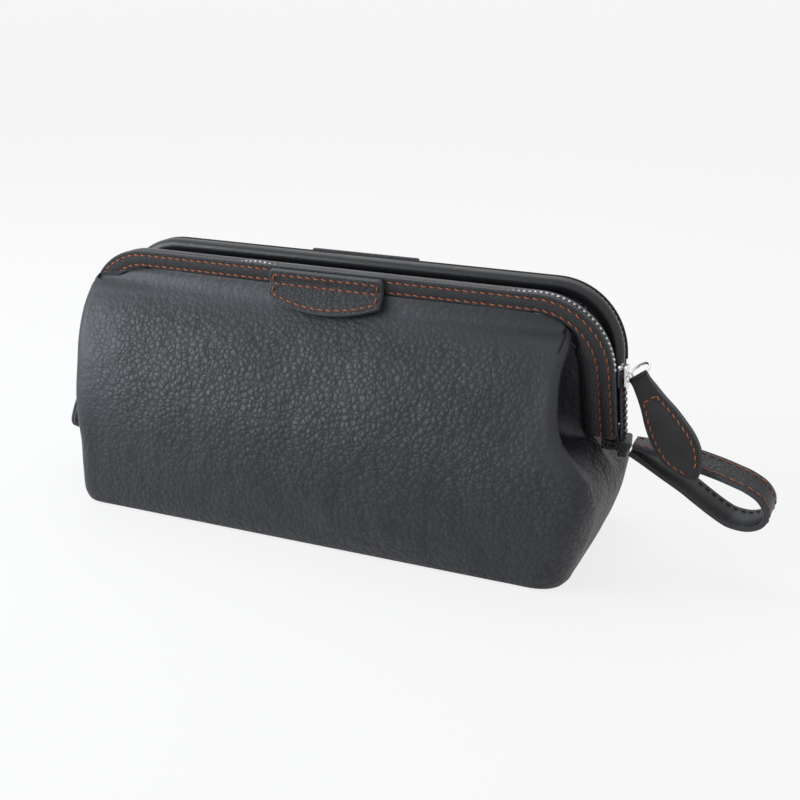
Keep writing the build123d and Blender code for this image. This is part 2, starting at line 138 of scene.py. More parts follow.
# End of a wall: height, upright edge, radius there, two places in the fold, each with its share of the way
# back, and the seam
RIGHT_END = [
    (0.3, 122.2, 12.0, 122.2, 0.35, 122.2, 0.7, 122.2),
    (1.4, 124.2, 12.6, 124.2, 0.35, 124.2, 0.7, 124.2),
    (3.4, 125.5, 13.0, 125.8, 0.35, 125.9, 0.7, 126.0),
    (8.0, 127.2, 13.0, 127.9, 0.35, 128.3, 0.7, 128.5),
    (20.0, 130.6, 13.5, 131.8, 0.35, 132.8, 0.7, 133.2),
    (33.0, 133.2, 13.0, 134.3, 0.35, 135.6, 0.7, 136.0),
    (44.0, 134.6, 10.0, 134.6, 0.35, 134.2, 0.7, 134.6),
    (52.0, 133.4, 7.4, 129.6, 0.35, 127.0, 0.7, 130.0),
    (58.0, 130.0, 5.6, 123.2, 0.35, 120.0, 0.7, 125.5),
    (64.0, 125.0, 5.4, 116.0, 0.36, 109.0, 0.76, 119.0),
    (70.0, 121.0, 5.4, 111.6, 0.38, 103.6, 0.8, 119.0),
    (78.0, 118.4, 5.4, 108.8, 0.4, 100.6, 0.82, 119.0),
    (87.0, 117.0, 5.2, 107.6, 0.4, 100.0, 0.82, 119.0),
    (97.0, 116.4, 4.6, 108.4, 0.4, 101.0, 0.82, 118.0),
    (104.0, 116.6, 3.8, 110.4, 0.4, 104.8, 0.8, 115.0),
    (109.0, 116.8, 2.8, 112.6, 0.4, 109.4, 0.8, 112.0),
    (113.0, 116.0, 2.0, 113.4, 0.4, 111.8, 0.8, 112.0),
    (117.0, 113.4, 1.2, 112.4, 0.4, 112.0, 0.8, 110.0),
    (WALL_TOP, 99.9, 0.4, 99.9, 0.4, 99.8, 0.8, 99.7),
]
LEFT_END = [
    (0.3, 123.4, 7.0, 123.4, 0.35, 123.0, 0.7, 122.4),
    (1.4, 126.8, 7.0, 126.4, 0.35, 125.6, 0.7, 124.6),
    (3.4, 128.4, 7.0, 128.0, 0.35, 127.2, 0.7, 126.4),
    (8.0, 129.4, 7.4, 129.4, 0.35, 129.2, 0.7, 128.8),
    (20.0, 129.0, 8.6, 130.6, 0.35, 132.2, 0.7, 133.2),
    (33.0, 128.2, 9.5, 131.4, 0.35, 134.4, 0.7, 135.6),
    (44.0, 128.6, 9.0, 131.0, 0.35, 133.6, 0.7, 134.6),
    (52.0, 129.2, 8.4, 129.2, 0.35, 129.4, 0.7, 131.0),
    (58.0, 129.9, 7.8, 126.2, 0.35, 123.4, 0.7, 126.5),
    (66.0, 130.7, 7.2, 122.4, 0.35, 116.0, 0.75, 120.0),
    (77.0, 131.4, 6.6, 120.0, 0.35, 112.4, 0.75, 120.0),
    (87.0, 131.8, 6.2, 119.4, 0.35, 112.0, 0.75, 120.0),
    (97.0, 132.0, 5.6, 120.6, 0.35, 115.0, 0.75, 119.0),
    (104.0, 131.9, 4.8, 124.6, 0.35, 120.5, 0.75, 116.0),
    (109.0, 131.2, 3.8, 127.0, 0.4, 124.5, 0.8, 112.0),
    (113.0, 129.4, 2.8, 126.0, 0.4, 122.8, 0.8, 112.0),
    (117.0, 124.0, 1.7, 121.0, 0.4, 117.8, 0.8, 112.0),
    (119.2, 113.0, 0.9, 111.0, 0.4, 109.4, 0.8, 99.7),
    (WALL_TOP, 99.9, 0.4, 99.9, 0.4, 99.8, 0.8, 99.7),
]

REAR_SLIMMING = 10.0  # how much less the rear wall's edge swells out beside the hinge, at the right end
SIDES = {"front": -1, "rear": 1}


def put(name, points, faces, materials):
    """Makes a mesh object from points in millimetres."""
    mesh = bpy.data.meshes.new(name)
    mesh.from_pydata([Vector(p) * 0.001 for p in points], [], faces)
    for material in materials:
        mesh.materials.append(material)
    mesh.polygons.foreach_set("use_smooth", [True] * len(mesh.polygons))
    mesh.update()
    piece = bpy.data.objects.new(name, mesh)
    bpy.context.scene.collection.objects.link(piece)
    return piece


def outwards(piece, merge=False):
    """Turns all faces of a closed mesh outwards. With merge, points in one place become one first."""
    bm = bmesh.new()
    bm.from_mesh(piece.data)
    if merge:
        bmesh.ops.remove_doubles(bm, verts=bm.verts, dist=2e-6)
    bmesh.ops.recalc_face_normals(bm, faces=bm.faces)
    bm.to_mesh(piece.data)
    bm.free()
    return piece


def grid(rows, ring=False):
    """Points and faces of a net of rows. With ring, each row closes on itself, and the ends are filled."""
    wide = len(rows[0])
    points = [p for row in rows for p in row]
    faces = []
    for j in range(len(rows) - 1):
        for i in range(wide if ring else wide - 1):
            k = (i + 1) % wide
            faces.append((j * wide + i, j * wide + k, (j + 1) * wide + k, (j + 1) * wide + i))
    if ring:
        faces.append(tuple(range(wide - 1, -1, -1)))
        faces.append(tuple(range((len(rows) - 1) * wide, len(rows) * wide)))
    return points, faces


def shell(outer, inner):
    """Points and faces of a closed sheet between two nets of rows."""
    high, wide = len(outer), len(outer[0])
    points = [p for rows in (outer, inner) for row in rows for p in row]
    net = grid(outer)[1]
    back = high * wide
    faces = net + [tuple(back + k for k in reversed(face)) for face in net]
    border = [*range(wide), *range(2 * wide - 1, high * wide, wide)]
    border += [*range(high * wide - 2, (high - 1) * wide - 1, -1), *range((high - 2) * wide, 0, -wide)]
    for a, b in zip(border, border[1:] + border[:1]):
        faces.append((b, a, back + a, back + b))
    return points, faces


def thicken(piece, thickness):
    """Gives a sheet its thickness, in millimetres."""
    modifier = piece.modifiers.new("thickness", "SOLIDIFY")
    modifier.thickness = thickness * 0.001
    modifier.offset = -1.0
    return piece


def soften(piece):
    """Subdivides a mesh once."""
    modifier = piece.modifiers.new("smooth", "SUBSURF")
    modifier.levels = 1
    modifier.render_levels = 1
    return piece


def between(table, at):
    """Values at one height, smoothly between the rows of a table that start with their heights."""
    n = 0
    while n < len(table) - 2 and at > table[n + 1][0]:
        n += 1
    a, b = table[n], table[n + 1]
    before, after = table[max(0, n - 1)], table[min(len(table) - 1, n + 2)]
    span = b[0] - a[0]
    t = min(1.0, max(0.0, (at - a[0]) / span))
    values = []
    for k in range(1, len(a)):
        start = (b[k] - before[k]) / (b[0] - before[0]) * span
        end = (after[k] - a[k]) / (after[0] - a[0]) * span
        hermite = (2 * t**3 - 3 * t**2 + 1) * a[k] + (t**3 - 2 * t**2 + t) * start
        values.append(hermite + (3 * t**2 - 2 * t**3) * b[k] + (t**3 - t**2) * end)
    return values


def curve_through(points, steps):
    """Points on a smooth line through the given ones, a fixed number of steps in each stretch."""
    made = []
    last = len(points) - 1
    for n in range(last):
        p0, p1, p2, p3 = (Vector(points[min(last, max(0, k))]) for k in (n - 1, n, n + 1, n + 2))
        count = steps[n] if isinstance(steps, (list, tuple)) else steps
        for i in range(count):
            t = i / count
            square = (2 * p0 - 5 * p1 + 4 * p2 - p3) * t**2
            cube = (3 * p1 - p0 - 3 * p2 + p3) * t**3
            made.append(0.5 * (2 * p1 + (p2 - p0) * t + square + cube))
    made.append(Vector(points[-1]))
    return made


def ease(value, low, high):
    """0 below low, 1 above high, and smooth between them."""
    t = min(1.0, max(0.0, (value - low) / (high - low)))
    return t * t * (3 - 2 * t)


def lean_of(side):
    return math.radians(FRONT_LEAN if side < 0 else REAR_LEAN)


def on_bow(side, x, up, out):
    """Point of a bow at rest: height over the hinge and distance outwards, both in the bow's own plane."""
    lean = lean_of(side)
    y = out * math.cos(lean) + up * math.sin(lean)
    return Vector((x, side * y, HINGE_HEIGHT + up * math.cos(lean) - out * math.sin(lean)))


def bow_turn(side, along):
    """Two directions in space: one that lies in the bow's plane, and the one that points outwards."""
    origin = on_bow(side, 0, 0, 0)
    return on_bow(side, *along, 0) - origin, on_bow(side, 0, 0, 1.0) - origin


def leg_share(up, left):
    """1 where the band is free, beside the fold, and 0 where the wall is sewn on in front of it."""
    return 1.0 - (ease(up, 22.0, 44.0) if left else ease(up, 47.0, 57.0))


def rim_stations():
    """Places round the rim, from the left leg's foot to the right one's.

    Each is a point of the middle line, the outward direction there and the share of leg.
    """
    half = []
    for n in range(16):
        up = BAND_FOOT + (CORNER_HEIGHT + BOW_CORNER * math.sin(SPLAY) - BAND_FOOT) * n / 16
        half.append((HINGE_HALF_SPAN - up * math.tan(SPLAY), up, math.cos(SPLAY), math.sin(SPLAY)))
    for n in range(20):
        turn = SPLAY + (math.pi / 2 - SPLAY) * n / 20
        x, up = math.cos(turn), math.sin(turn)
        half.append((CORNER_CENTRE + BOW_CORNER * x, CORNER_HEIGHT + BOW_CORNER * up, x, up))
    for n in range(30):
        half.append((CORNER_CENTRE * (1 - n / 30), BOW_HEIGHT, 0.0, 1.0))
    left = [(-x, up, -nx, nup, leg_share(up, True)) for x, up, nx, nup in half]
    right = [(x, up, nx, nup, leg_share(up, False)) for x, up, nx, nup in half]
    return left + [(0.0, BOW_HEIGHT, 0.0, 1.0, 0.0)] + right[::-1]


def rim_edge_x(reach, up):
    """Distance from the middle of the bag to a line along the rim, at one height over the hinge."""
    if up <= CORNER_HEIGHT:
        return HINGE_HALF_SPAN + reach / math.cos(SPLAY) - up * math.tan(SPLAY)
    radius = BOW_CORNER + reach
    return CORNER_CENTRE + math.sqrt(max(0.0, radius**2 - (up - CORNER_HEIGHT) ** 2))


def walk(points, pitch, margin=0.0):
    """Evenly spaced places along a line: each is a point and a direction."""
    line = [Vector(p) for p in points]
    lengths = [0.0]
    for a, b in zip(line, line[1:]):
        lengths.append(lengths[-1] + (b - a).length)
    room = lengths[-1] - 2 * margin
    count = max(1, int(room // pitch))
    spots = []
    n = 0
    for k in range(count + 1):
        at = margin + room * k / count
        while n < len(line) - 2 and lengths[n + 1] < at:
            n += 1
        step = line[n + 1] - line[n]
        share = (at - lengths[n]) / max(1e-6, step.length)
        spots.append((line[n] + step * share, step.normalized()))
    return spots


def stitch_mesh(name, spots, thread, length=STITCH_LENGTH, radius=STITCH_RADIUS):
    """Many stitches as one mesh. A spot is the place, the seam's direction and the way out of the leather."""
    points, faces = [], []
    turns = [math.pi * k / 3 for k in range(6)]
    for place, along, out in spots:
        across = along.cross(out).normalized()
        rows = []
        for share, thick, lift in STITCH_SHAPE:
            middle = place + along * (share * length / 2) + across * (share * 0.22) + out * (lift * radius)
            reach = radius * thick
            rows.append([middle + (across * math.cos(a) + out * math.sin(a)) * reach for a in turns])
        stitch = grid(rows, ring=True)
        faces += [[len(points) + k for k in face] for face in stitch[1]]
        points += stitch[0]
    return outwards(put(name, points, faces, [thread]))


# Materials


def new_material(name):
    material = bpy.data.materials.new(name)
    material.use_nodes = True
    tree = material.node_tree
    return material, tree, tree.nodes["Principled BSDF"]


def plug(tree, value, socket):
    """Feeds an input with another node's output, or sets it to a plain value."""
    if isinstance(value, bpy.types.NodeSocket):
        tree.links.new(value, socket)
    else:
        socket.default_value = value


def feed(tree, node, **inputs):
    """Fills a node's inputs by name."""
    for key, value in inputs.items():
        plug(tree, value, node.inputs[key.replace("_", " ")])


def add(tree, kind, **settings):
    """A node with its settings. A name that starts with in_ is one of its inputs."""
    node = tree.nodes.new(kind)
    for key, value in settings.items():
        if key.startswith("in_"):
            feed(tree, node, **{key[3:]: value})
        else:
            setattr(node, key, value)
    return node


def reckon(tree, kind, operation, *values):
    """Result of a node of arithmetic, from numbers or other nodes' outputs."""
    node = add(tree, kind, operation=operation)
    for socket, value in zip(node.inputs, values):
        plug(tree, value, socket)
    return node.outputs[0]


def place_of(tree, stretch=(1, 1, 1), turn=0.0):
    """The object's own coordinates, stretched, and turned about the y axis."""
    coordinates = add(tree, "ShaderNodeTexCoord").outputs["Object"]
    turned = (0.0, math.radians(turn), 0.0)
    mapping = add(tree, "ShaderNodeMapping", in_Scale=stretch, in_Rotation=turned, in_Vector=coordinates)
    return mapping.outputs["Vector"]


def spread(tree, value, low, high, to_low, to_high):
    """Maps a value from one range to another."""
    node = add(tree, "ShaderNodeMapRange", in_Value=value)
    feed(tree, node, From_Min=low, From_Max=high, To_Min=to_low, To_Max=to_high)
    return node.outputs["Result"]


def sum_of(tree, a, b, share=1.0):
    """a plus share times b."""
    return reckon(tree, "ShaderNodeMath", "MULTIPLY_ADD", b, share, a)


def mixed(tree, plain, value, share):
    """A plain number where share is 0, the value where it is 1."""
    node = add(tree, "ShaderNodeMix", data_type="FLOAT")
    for k, source in ((0, share), (2, plain), (3, value)):
        plug(tree, source, node.inputs[k])
    return node.outputs[0]


def colours(tree, value, stops):
    """Colour ramp of a value. A stop is its place and its colour."""
    ramp = add(tree, "ShaderNodeValToRGB", in_Fac=value)
    for element, (at, colour) in zip(ramp.color_ramp.elements, stops):
        element.position = at
        element.color = (*colour, 1.0)
    return ramp.outputs["Color"]


def paint(tree, shader, tone, low, high, shades):
    """Colours a surface from its dark shade, where the tone is low, to its light one."""
    share = spread(tree, tone, low, high, 0.0, 1.0)
    feed(tree, shader, Base_Color=colours(tree, share, list(enumerate(shades))))


def bump(tree, shader, height, strength, distance):
    """Relief of a surface. The distance is in millimetres."""
    node = add(tree, "ShaderNodeBump", in_Strength=strength, in_Distance=distance * 0.001, in_Height=height)
    feed(tree, shader, Normal=node.outputs["Normal"])


def noise_of(tree, vector, scale, detail=3.0):
    return add(tree, "ShaderNodeTexNoise", in_Scale=scale, in_Detail=detail, in_Vector=vector).outputs["Fac"]


def cells_of(tree, vector, size, feature, **settings):
    """Distance in a pattern of cells, whose size is in millimetres."""
    scale = 1000.0 / size
    node = add(tree, "ShaderNodeTexVoronoi", feature=feature, in_Scale=scale, in_Vector=vector, **settings)
    return node.outputs["Distance"]


def grained_leather(name, shades, cell, relief, rough, fading=False):
    """Pebbled leather: domed cells of a size in millimetres, creases between them, and a fine grain.

    With fading, the mesh says how strong the grain is at each place.
    """
    material, tree, shader = new_material(name)
    place = place_of(tree)
    wobble = add(tree, "ShaderNodeTexNoise", in_Scale=330.0 / cell, in_Detail=3.0, in_Vector=place)
    reach = [0.0011 * cell] * 3
    bent = reckon(tree, "ShaderNodeVectorMath", "MULTIPLY_ADD", wobble.outputs["Color"], reach, place)
    dome = spread(tree, cells_of(tree, bent, cell, "SMOOTH_F1", in_Smoothness=0.25), 0.0, 0.75, 1.0, 0.0)
    seam = spread(tree, cells_of(tree, bent, cell, "DISTANCE_TO_EDGE"), 0.0, 0.11, 0.0, 1.0)
    little = spread(tree, cells_of(tree, bent, cell / 1.9, "F1"), 0.0, 0.7, 1.0, 0.0)
    lines = noise_of(tree, place_of(tree, (1.6, 1.6, 0.5), 22.0), 230.0 / cell, 4.0)
    crease = spread(tree, lines, 0.36, 0.5, 0.0, 1.0)
    soft = noise_of(tree, place, 40.0)
    fine = noise_of(tree, place, 2400.0, 2.0)
    height = sum_of(tree, dome, seam, 0.35)
    height = sum_of(tree, height, little, 0.3)
    height = sum_of(tree, height, crease, 0.4)
    # Colour tone: painted shade in the creases and at the cells' edges, and a painted highlight on the domes
    tone = sum_of(tree, sum_of(tree, seam, crease, 0.5), dome, 0.6)
    if fading:
        # Where the grain fades, the painted crease shade and dome highlight fade to this even tone
        tone_without_grain = 1.9
        strength = add(tree, "ShaderNodeAttribute", attribute_name="grain").outputs["Fac"]
        height = reckon(tree, "ShaderNodeMath", "MULTIPLY", height, strength)
        tone = mixed(tree, tone_without_grain, tone, strength)
    height = sum_of(tree, height, soft, 1.2)
    height = sum_of(tree, height, fine, 0.06)
    bump(tree, shader, height, 1.0, relief)
    tone = sum_of(tree, tone, soft, 0.5)
    paint(tree, shader, tone, 0.3, 2.3, shades)
    worn = spread(tree, sum_of(tree, tone, fine, 0.4), 0.3, 2.6, rough + 0.2, rough - 0.04)
    feed(tree, shader, Roughness=worn, Specular_IOR_Level=0.5, Sheen_Weight=0.05, Sheen_Roughness=0.4)
    return material


def smooth_leather(name, shades, rough, grain=1.3, relief=0.05):
    """Leather with hardly any grain: fine pores and soft patches."""
    material, tree, shader = new_material(name)
    place = place_of(tree)
    pores = spread(tree, cells_of(tree, place, grain, "DISTANCE_TO_EDGE"), 0.0, 0.3, 0.0, 1.0)
    patches = noise_of(tree, place, 90.0, 4.0)
    fine = noise_of(tree, place, 1800.0)
    height = sum_of(tree, pores, fine, 0.7)
    height = sum_of(tree, height, patches, 1.6)
    bump(tree, shader, height, 0.6, relief)
    tone = sum_of(tree, patches, fine, 0.35)
    paint(tree, shader, tone, 0.35, 0.95, shades)
    worn = spread(tree, tone, 0.3, 1.0, rough + 0.08, rough - 0.08)
    feed(tree, shader, Roughness=worn, Specular_IOR_Level=0.45)
    return material


def cut_edge(name):
    """Raw edge of leather: fibres, lighter than the grain side."""
    material, tree, shader = new_material(name)
    fibres = noise_of(tree, place_of(tree, (1.0, 2.4, 2.4)), 1500.0, 5.0)
    colour = colours(tree, fibres, [(0.3, (0.05, 0.05, 0.055)), (0.7, (0.17, 0.17, 0.18))])
    feed(tree, shader, Base_Color=colour, Roughness=spread(tree, fibres, 0.2, 0.8, 0.6, 0.9))
    bump(tree, shader, fibres, 0.7, 0.2)
    return material


def woven(name, shades, threads, relief, rough, sheen):
    """Cloth or tape: two crossed sets of threads, a number in each millimetre."""
    material, tree, shader = new_material(name)
    place = place_of(tree)
    waves = []
    for axis in ("X", "Z"):
        settings = {"bands_direction": axis, "in_Scale": threads * 318.0, "in_Distortion": 0.6}
        waves.append(add(tree, "ShaderNodeTexWave", in_Vector=place, **settings).outputs["Fac"])
    fuzz = noise_of(tree, place, 1200.0, 4.0)
    height = sum_of(tree, sum_of(tree, *waves), fuzz, 0.8)
    bump(tree, shader, height, 0.6, relief)
    paint(tree, shader, height, 0.3, 2.4, shades)
    worn = spread(tree, fuzz, 0.2, 0.8, rough - 0.06, rough + 0.06)
    feed(tree, shader, Roughness=worn, Sheen_Weight=sheen)
    return material


def sewing_thread(name, shades):
    """Twisted thread."""
    material, tree, shader = new_material(name)
    place = place_of(tree)
    settings = {"bands_direction": "DIAGONAL", "in_Scale": 420.0, "in_Distortion": 1.5}
    twist = add(tree, "ShaderNodeTexWave", in_Vector=place, **settings).outputs["Fac"]
    worn = noise_of(tree, place, 160.0)
    paint(tree, shader, sum_of(tree, twist, worn, 1.2), 0.3, 1.8, shades)
    feed(tree, shader, Roughness=spread(tree, worn, 0.2, 0.8, 0.5, 0.7))
    bump(tree, shader, twist, 0.5, 0.1)
    return material


def metal(name, shades, rough, scratches):
    """Plated metal with small wear."""
    material, tree, shader = new_material(name)
    worn = noise_of(tree, place_of(tree), 300.0, 5.0)
    lines = noise_of(tree, place_of(tree, (1.0, 1.0, 6.0)), 1400.0)
    paint(tree, shader, worn, 0.3, 0.7, shades)
    dull = spread(tree, sum_of(tree, worn, lines, 0.6), 0.4, 1.2, rough + 0.1, rough - 0.06)
    feed(tree, shader, Roughness=dull, Metallic=1.0)
    bump(tree, shader, lines, scratches, 0.05)
    return material


# Dark and light shade of each material
SHADES = {
    "bag_leather": ((0.0032, 0.0035, 0.0045), (0.0245, 0.0266, 0.0348)),
    "tab_leather": ((0.004, 0.0043, 0.0053), (0.014, 0.015, 0.019)),
    "base_leather": ((0.0055, 0.006, 0.0075), (0.0245, 0.0262, 0.0325)),
    "band_leather": ((0.008, 0.0083, 0.0098), (0.02, 0.0208, 0.0245)),
    "strap_leather": ((0.009, 0.0095, 0.011), (0.034, 0.035, 0.04)),
    "roll_leather": ((0.01, 0.0105, 0.012), (0.022, 0.0225, 0.025)),
    "leaf_leather": ((0.006, 0.006, 0.0064), (0.017, 0.0165, 0.0175)),
    "strap_back_leather": ((0.02, 0.0205, 0.022), (0.042, 0.043, 0.046)),
    "lining_cloth": ((0.025, 0.025, 0.028), (0.075, 0.075, 0.082)),
    "zip_tape_weave": ((0.008, 0.008, 0.009), (0.03, 0.03, 0.033)),
    "base_board_fibre": ((0.12, 0.1, 0.075), (0.26, 0.22, 0.17)),
    "orange_thread": ((0.33, 0.075, 0.028), (0.78, 0.25, 0.1)),
    "black_thread": ((0.006, 0.006, 0.007), (0.03, 0.03, 0.034)),
    "frame_steel": ((0.2, 0.2, 0.21), (0.36, 0.36, 0.37)),
    "rivet_steel": ((0.3, 0.3, 0.31), (0.5, 0.5, 0.51)),
    "dark_tooth_metal": ((0.05, 0.05, 0.055), (0.14, 0.14, 0.15)),
    "zip_tooth_metal": ((0.4, 0.4, 0.41), (0.66, 0.66, 0.67)),
    "bright_metal": ((0.6, 0.6, 0.61), (0.85, 0.85, 0.86)),
}


def make_materials():
    """All materials, by the names that the pieces ask for."""
    plan = {
        "grained_leather": (grained_leather, "bag_leather", 2.7, 0.36, 0.49, True),
        "tab_leather": (grained_leather, "tab_leather", 2.2, 0.2, 0.56),
        "base_leather": (grained_leather, "base_leather", 2.7, 0.3, 0.5),
        "band_leather": (grained_leather, "band_leather", 1.6, 0.1, 0.5),
        "strap_leather": (grained_leather, "strap_leather", 1.6, 0.2, 0.42),
        "smooth_leather": (smooth_leather, "roll_leather", 0.36),
        "leaf_leather": (smooth_leather, "leaf_leather", 0.66, 0.9, 0.1),
        "strap_back": (smooth_leather, "strap_back_leather", 0.5, 1.1, 0.05),
        "lining_cloth": (woven, "lining_cloth", 2.2, 0.08, 0.75, 0.25),
        "zip_tape": (woven, "zip_tape_weave", 1.6, 0.12, 0.72, 0.1),
        "board": (woven, "base_board_fibre", 0.8, 0.05, 0.85, 0.0),
        "orange_thread": (sewing_thread, "orange_thread"),
        "black_thread": (sewing_thread, "black_thread"),
        "frame_steel": (metal, "frame_steel", 0.36, 0.4),
        "rivet_steel": (metal, "rivet_steel", 0.3, 0.4),
        "dark_teeth": (metal, "dark_tooth_metal", 0.4, 0.3),
        "zip_teeth": (metal, "zip_tooth_metal", 0.28, 0.3),
        "bright_metal": (metal, "bright_metal", 0.16, 0.25),
    }
    made = {key: maker(name, SHADES[name], *sizes) for key, (maker, name, *sizes) in plan.items()}
    made["edge"] = cut_edge("cut_leather_edge")
    return made


# Walls


def rim_top(side):
    """Height of a wall's upper edge along the top of its bow."""
    return on_bow(side, 0, BOW_HEIGHT + EDGE_TOP, WALL_EDGE_FACE).z


def wall_levels(side):
    """Heights of the rows of a wall, closer together at the foot and towards the rim."""
    foot = FACE[0][0]
    levels = [foot, foot + 0.5, foot + 1.1, foot + 1.9]
    start, top = levels[-1], rim_top(side)
    for n in range(1, WALL_ROWS + 1):
        levels.append(start + (top - start) * (1 - (1 - n / WALL_ROWS) ** 1.4))
    return levels


def wall_edge(side, z, end, left):
    """Where a wall's row ends: seam in the bag's end, behind the band on a leg, or under it along the top."""
    lean = lean_of(side)
    out = WALL_EDGE_FACE
    up = min((z - HINGE_HEIGHT + out * math.sin(lean)) / math.cos(lean), BOW_HEIGHT + EDGE_TOP)
    leg = leg_share(up, left)
    depth = out - 4.4 * leg
    x = rim_edge_x(EDGE_TOP + (EDGE_LEG - EDGE_TOP) * leg, up)
    y = depth * math.cos(lean) + up * math.sin(lean)
    share = ease(z, 55.0, 64.0)
    return end + (x - end) * share, WALL_GAP + (y - WALL_GAP) * share


def half_row(side, z, left):
    """Points of one row from the middle of the bag to its end, with x and the distance from the middle plane.

    left is true for the end that the photograph shows on the left, whose edge is fuller.
    """
    height = z
    if z >= HINGE_HEIGHT:
        height += (z - HINGE_HEIGHT) * ((WALL_TOP - HINGE_HEIGHT) / (rim_top(side) - HINGE_HEIGHT) - 1)
    face, crown = between(FACE, height)
    face += (math.sin(lean_of(side)) - math.sin(lean_of(-1))) * max(0.0, z - HINGE_HEIGHT)
    ear, radius, x1, t1, x2, t2, end = between(LEFT_END if left else RIGHT_END, height)
    edge_x, edge_y = wall_edge(side, z, end, left)
    if side > 0 and not left:
        slim = REAR_SLIMMING * ease(height, 36.0, 56.0) * (1.0 - ease(height, 82.0, 104.0))
        ear, x1, x2 = ear - slim, x1 - 0.7 * slim, x2 - 0.5 * slim
    near = ease(height, 114.5, 119.0) if left else ease(height, 112.0, 117.0)
    flat = ease(height, 109.0, 117.5)
    ear += (edge_x - 1.6 - ear) * near
    x1 += (edge_x - 1.1 - x1) * near
    x2 += (edge_x - 0.5 - x2) * near
    crown += (face - crown - edge_y - 0.08) * flat
    face = max(face, edge_y + crown + 0.08)
    radius = min(radius, 0.75 * (face - crown - edge_y))
    start = ear - radius
    falls = ((0, 0), (0.3, 0.05), (0.6, 0.25), (0.84, 0.65))
    line = [(start * share, face - crown * fall) for share, fall in falls]
    line.append((start - 0.45 * radius - 0.3, face - crown * 0.97))
    for turn in (0.0, 0.5, 1.0, math.pi / 2):
        line.append((start + radius * math.sin(turn), face - crown - radius * (1 - math.cos(turn))))
    back = face - crown - radius
    gap = back - edge_y
    line.append((ear + (x1 - ear) * 0.2, back - gap * t1 * 0.3))
    line += [(x1, back - gap * t1), (x2, back - gap * t2), (edge_x, edge_y)]
    return curve_through([(x, y, 0) for x, y in line], [10, 10, 9, 5, 2, 3, 3, 3, 3, 5, 7, 7])


def ripple(p, strength):
    """Small swelling and creases of the leather, along its outward direction, in millimetres."""
    slow = noise.noise(Vector((p.x * 0.016 + 3.1, p.y * 0.02, p.z * 0.022 + 1.7)))
    mid = noise.noise(Vector((p.x * 0.045 + 9.0, p.y * 0.05, p.z * 0.03 + p.x * 0.012 + 4.0)))
    fine = noise.noise(Vector((p.x * 0.12 + 2.0, p.y * 0.1, p.z * 0.06 + p.x * 0.03)))
    return strength * (1.5 * slow + 0.9 * mid + 0.35 * fine)


def wall_points(side):
    """Nets of points of a wall's outer and inner face, and how strong the grain is at each."""
    outer, inner, grain = [], [], []
    for z in wall_levels(side):
        right = half_row(side, z, False)
        left = half_row(side, z, True)
        line = [(-p.x, p.y) for p in left[:0:-1]] + [(p.x, p.y) for p in right]
        middle = len(line) // 2
        calm = ease(z, 1.9, 16.0) * (1.0 - ease(z, 96.0, 112.0))
        smooth_top = 1.0 - 0.75 * ease(z, 99.0, 110.0)
        outer.append([])
        inner.append([])
        for n, (x, y) in enumerate(line):
            before = Vector(line[max(0, n - 1)])
            after = Vector(line[min(len(line) - 1, n + 1)])
            step = (after - before).normalized()
            away = ease(n, 0, 12) * ease(len(line) - 1 - n, 0, 12)
            place = Vector((x, -y, z)) if side < 0 else Vector((40 - x, y, z))
            move = ripple(place, calm * away)
            for net, out in ((outer, move), (inner, move - LEATHER + 0.1)):
                net[-1].append(Vector((x - step.y * out, side * (y + step.x * out), z)))
            near_end = ease(abs(n - middle), 24, 37)
            smooth_end = ease(z, 48.0, 66.0) if n > middle else 0.5 + 0.5 * ease(z, 30.0, 60.0)
            grain.append((1.0 - 0.8 * near_end * smooth_end) * smooth_top)
    return outer, inner, grain


def wall(name, side, materials):
    outer, inner, grain = wall_points(side)
    piece = put(name, *shell(outer, inner), [materials["grained_leather"]])
    strength = piece.data.attributes.new("grain", "FLOAT", "POINT")
    strength.data.foreach_set("value", grain * 2)
    return outwards(piece)


def lining_points(side):
    """Net of points of a lining, inside a wall. It leaves the fold at the ends out."""
    rows = []
    for z in wall_levels(side)[7:-6:3]:
        line = []
        for left, sign in ((True, -1), (False, 1)):
            half = half_row(side, z, left)
            ear, _, x1, _, x2, _, end = between(LEFT_END if left else RIGHT_END, z)
            edge_x, edge_y = wall_edge(side, z, end, left)
            limit = min(ear, x1, x2, end, edge_x) - 3.2
            face = half[0].y - 2.6
            corner = min(9.0, max(0.6, (face - edge_y) * 0.3))
            inner = max(0.1, edge_y - 2.2)
            points = [(0, face), (limit * 0.5, face - 0.5), (limit - corner, face - 2.4)]
            points.append((limit - corner * 0.3, face - 2.4 - corner * 0.3))
            points += [(limit, face - 2.6 - corner), (limit, inner)]
            bent = curve_through([(x, y, 0) for x, y in points], [10, 8, 3, 3, 6])
            line.append([(sign * p.x, p.y) for p in bent])
        rows.append([Vector((x, side * y, z)) for x, y in line[0][:0:-1] + line[1]])
    return rows


def lining(name, side, materials):
    points, faces = grid(lining_points(side))
    faces = [f[::-1] for f in faces] if side > 0 else faces
    piece = put(name, points, faces, [materials["lining_cloth"]])
    return thicken(piece, LINING)


# Rim


